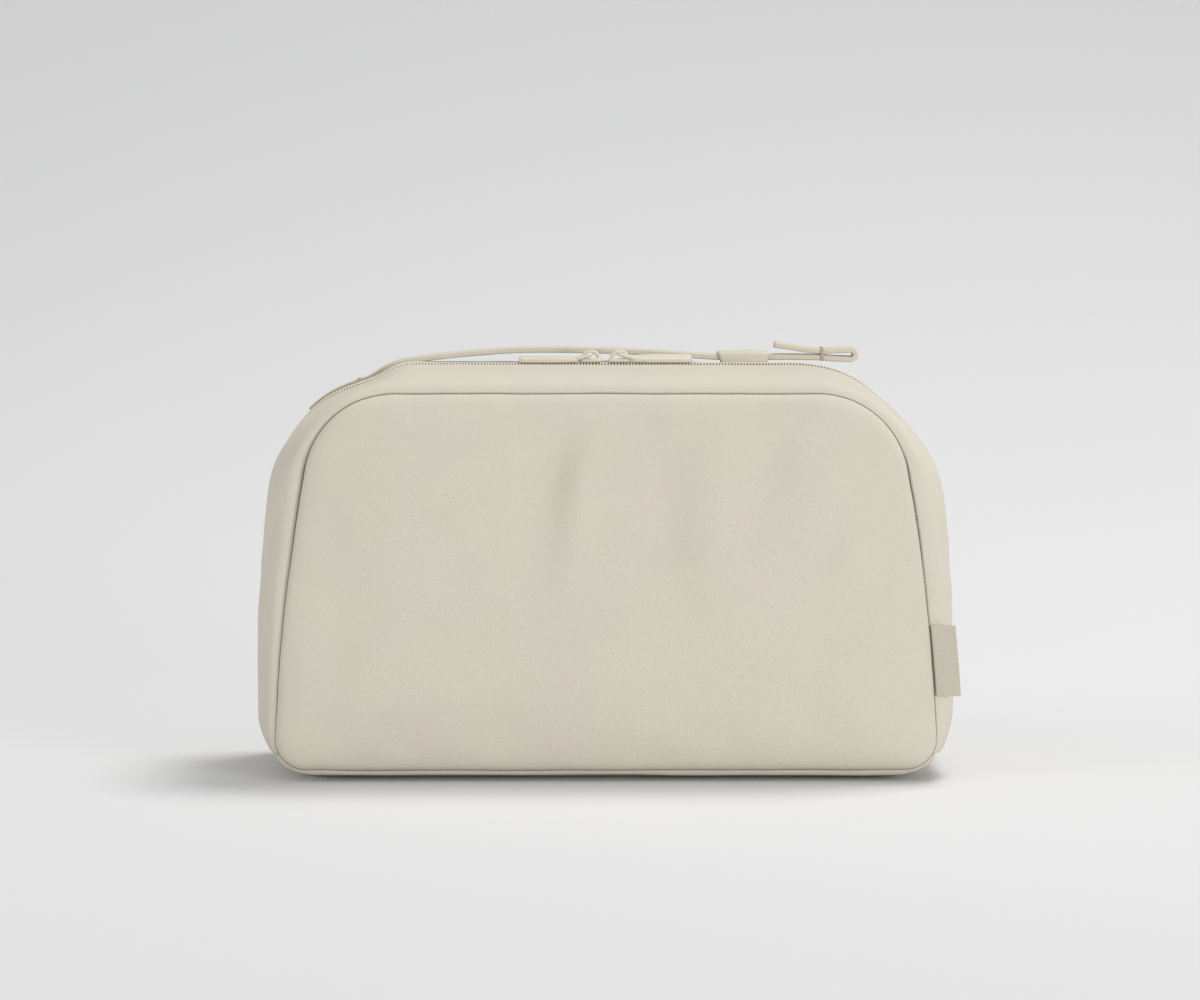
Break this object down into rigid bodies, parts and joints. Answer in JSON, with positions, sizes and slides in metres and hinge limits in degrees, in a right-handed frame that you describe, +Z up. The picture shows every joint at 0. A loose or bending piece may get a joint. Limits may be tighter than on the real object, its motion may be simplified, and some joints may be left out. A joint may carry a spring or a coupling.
{
  "type": "shaving kit bag",
  "caption": "Padded nylon wash bag whose front hinges open on a zip, with paired zip pulls, a slide-through carry strap, a blank side label and an inside slip pocket.",
  "frame": {"origin": "centre of the flat base, on the surface the bag stands on", "axes": "+X along the bag's width towards the side label, +Y to the back panel, +Z up; the front panel faces -Y"},
  "size_m": [0.2794, 0.114, 0.1722],
  "materials": {
    "shell": "matt close-woven nylon, light stone beige",
    "gusset": "matt close-woven nylon, light stone beige",
    "padding": "soft open-cell foam, never seen from outside",
    "lining": "thin smooth woven lining",
    "binding": "ribbed binding tape",
    "zip_tape": "woven zip tape, colour matched",
    "zip_coil": "moulded nylon coil, colour matched",
    "zip_stop": "moulded stop, colour matched",
    "slider": "satin paint, colour matched",
    "pull_loop": "satin paint, colour matched",
    "pull_tab": "soft-touch moulded tab, blank",
    "strap": "folded and edge-stitched strap of the shell fabric",
    "thread": "polyester thread",
    "label": "folded woven label, blank"
  },
  "bodies": {
    "bag_body": {"back_panel": "shell", "back_panel_padding": "padding", "back_panel_lining": "lining", "base_panel": "shell", "base_padding": "padding", "base_lining": "lining", "rear_zip_strip": "gusset", "rear_strip_padding": "padding", "rear_strip_lining": "lining", "rear_zip_tape": "zip_tape", "rear_zip_coil": "zip_coil", "rear_zip_end_stops": "zip_stop", "rear_seam_binding": "binding", "strap_sewn_end": "strap", "strap_end_stitching": "thread", "strap_keeper": "strap", "slip_pocket": "lining", "slip_pocket_elastic": "binding"},
    "front_flap": {"front_panel": "shell", "front_panel_padding": "padding", "front_panel_lining": "lining", "front_zip_strip": "gusset", "front_strip_padding": "padding", "front_strip_lining": "lining", "front_zip_tape": "zip_tape", "front_zip_coil": "zip_coil", "front_zip_end_stops": "zip_stop", "front_seam_binding": "binding"},
    "left_slider": {"left_slider_body": "slider"},
    "left_pull": {"left_pull_loop": "pull_loop", "left_pull_tab": "pull_tab"},
    "right_slider": {"right_slider_body": "slider"},
    "right_pull": {"right_pull_loop": "pull_loop", "right_pull_tab": "pull_tab"},
    "strap_left": {"strap_left_run": "strap"},
    "strap_right": {"strap_right_run": "strap"},
    "strap_tail": {"strap_folded_end": "strap", "strap_fold_stitching": "thread"},
    "label": {"side_label": "label"}
  },
  "joints": [
    {"name": "front_opening", "type": "hinge", "parent": "bag_body", "child": "front_flap", "pos_m": [0, -0.0514, 0.003], "axis": [1, 0, 0], "range_deg": [0, 45]},
    {"name": "left_slider_travel", "type": "slide", "parent": "bag_body", "child": "left_slider", "axis": [-1, 0, 0], "range_m": [0, 0.064]},
    {"name": "right_slider_travel", "type": "slide", "parent": "bag_body", "child": "right_slider", "axis": [1, 0, 0], "range_m": [0, 0.064]},
    {"name": "left_pull_swing", "type": "hinge", "parent": "left_slider", "child": "left_pull", "pos_m": [-0.0058, 0, 0.16755], "axis": [0, 1, 0], "range_deg": [0, 110]},
    {"name": "right_pull_swing", "type": "hinge", "parent": "right_slider", "child": "right_pull", "pos_m": [0.0058, 0, 0.16755], "axis": [0, -1, 0], "range_deg": [0, 110]},
    {"name": "handle_lift", "type": "hinge", "parent": "bag_body", "child": "strap_left", "pos_m": [-0.0983, 0.0195, 0.1634], "axis": [0, -1, 0], "range_deg": [0, 20.5]},
    {"name": "strap_crown_bend", "type": "hinge", "parent": "strap_left", "child": "strap_right", "pos_m": [-0.02605, 0.0195, 0.1681], "axis": [0, -1, 0], "range_deg": [-41, 0]},
    {"name": "strap_end_level", "type": "hinge", "parent": "strap_right", "child": "strap_tail", "pos_m": [0.04615, 0.0195, 0.1672], "axis": [0, -1, 0], "range_deg": [0, 20.5]},
    {"name": "label_flex", "type": "hinge", "parent": "front_flap", "child": "label", "pos_m": [0.12924, -0.0509, 0.0482], "axis": [0.0859, 0, -0.9963], "range_deg": [0, 100]}
  ],
  "couplings": [
    {"joint": "strap_crown_bend", "follows": "handle_lift", "ratio": -2},
    {"joint": "strap_end_level", "follows": "handle_lift", "ratio": 1}
  ]
}
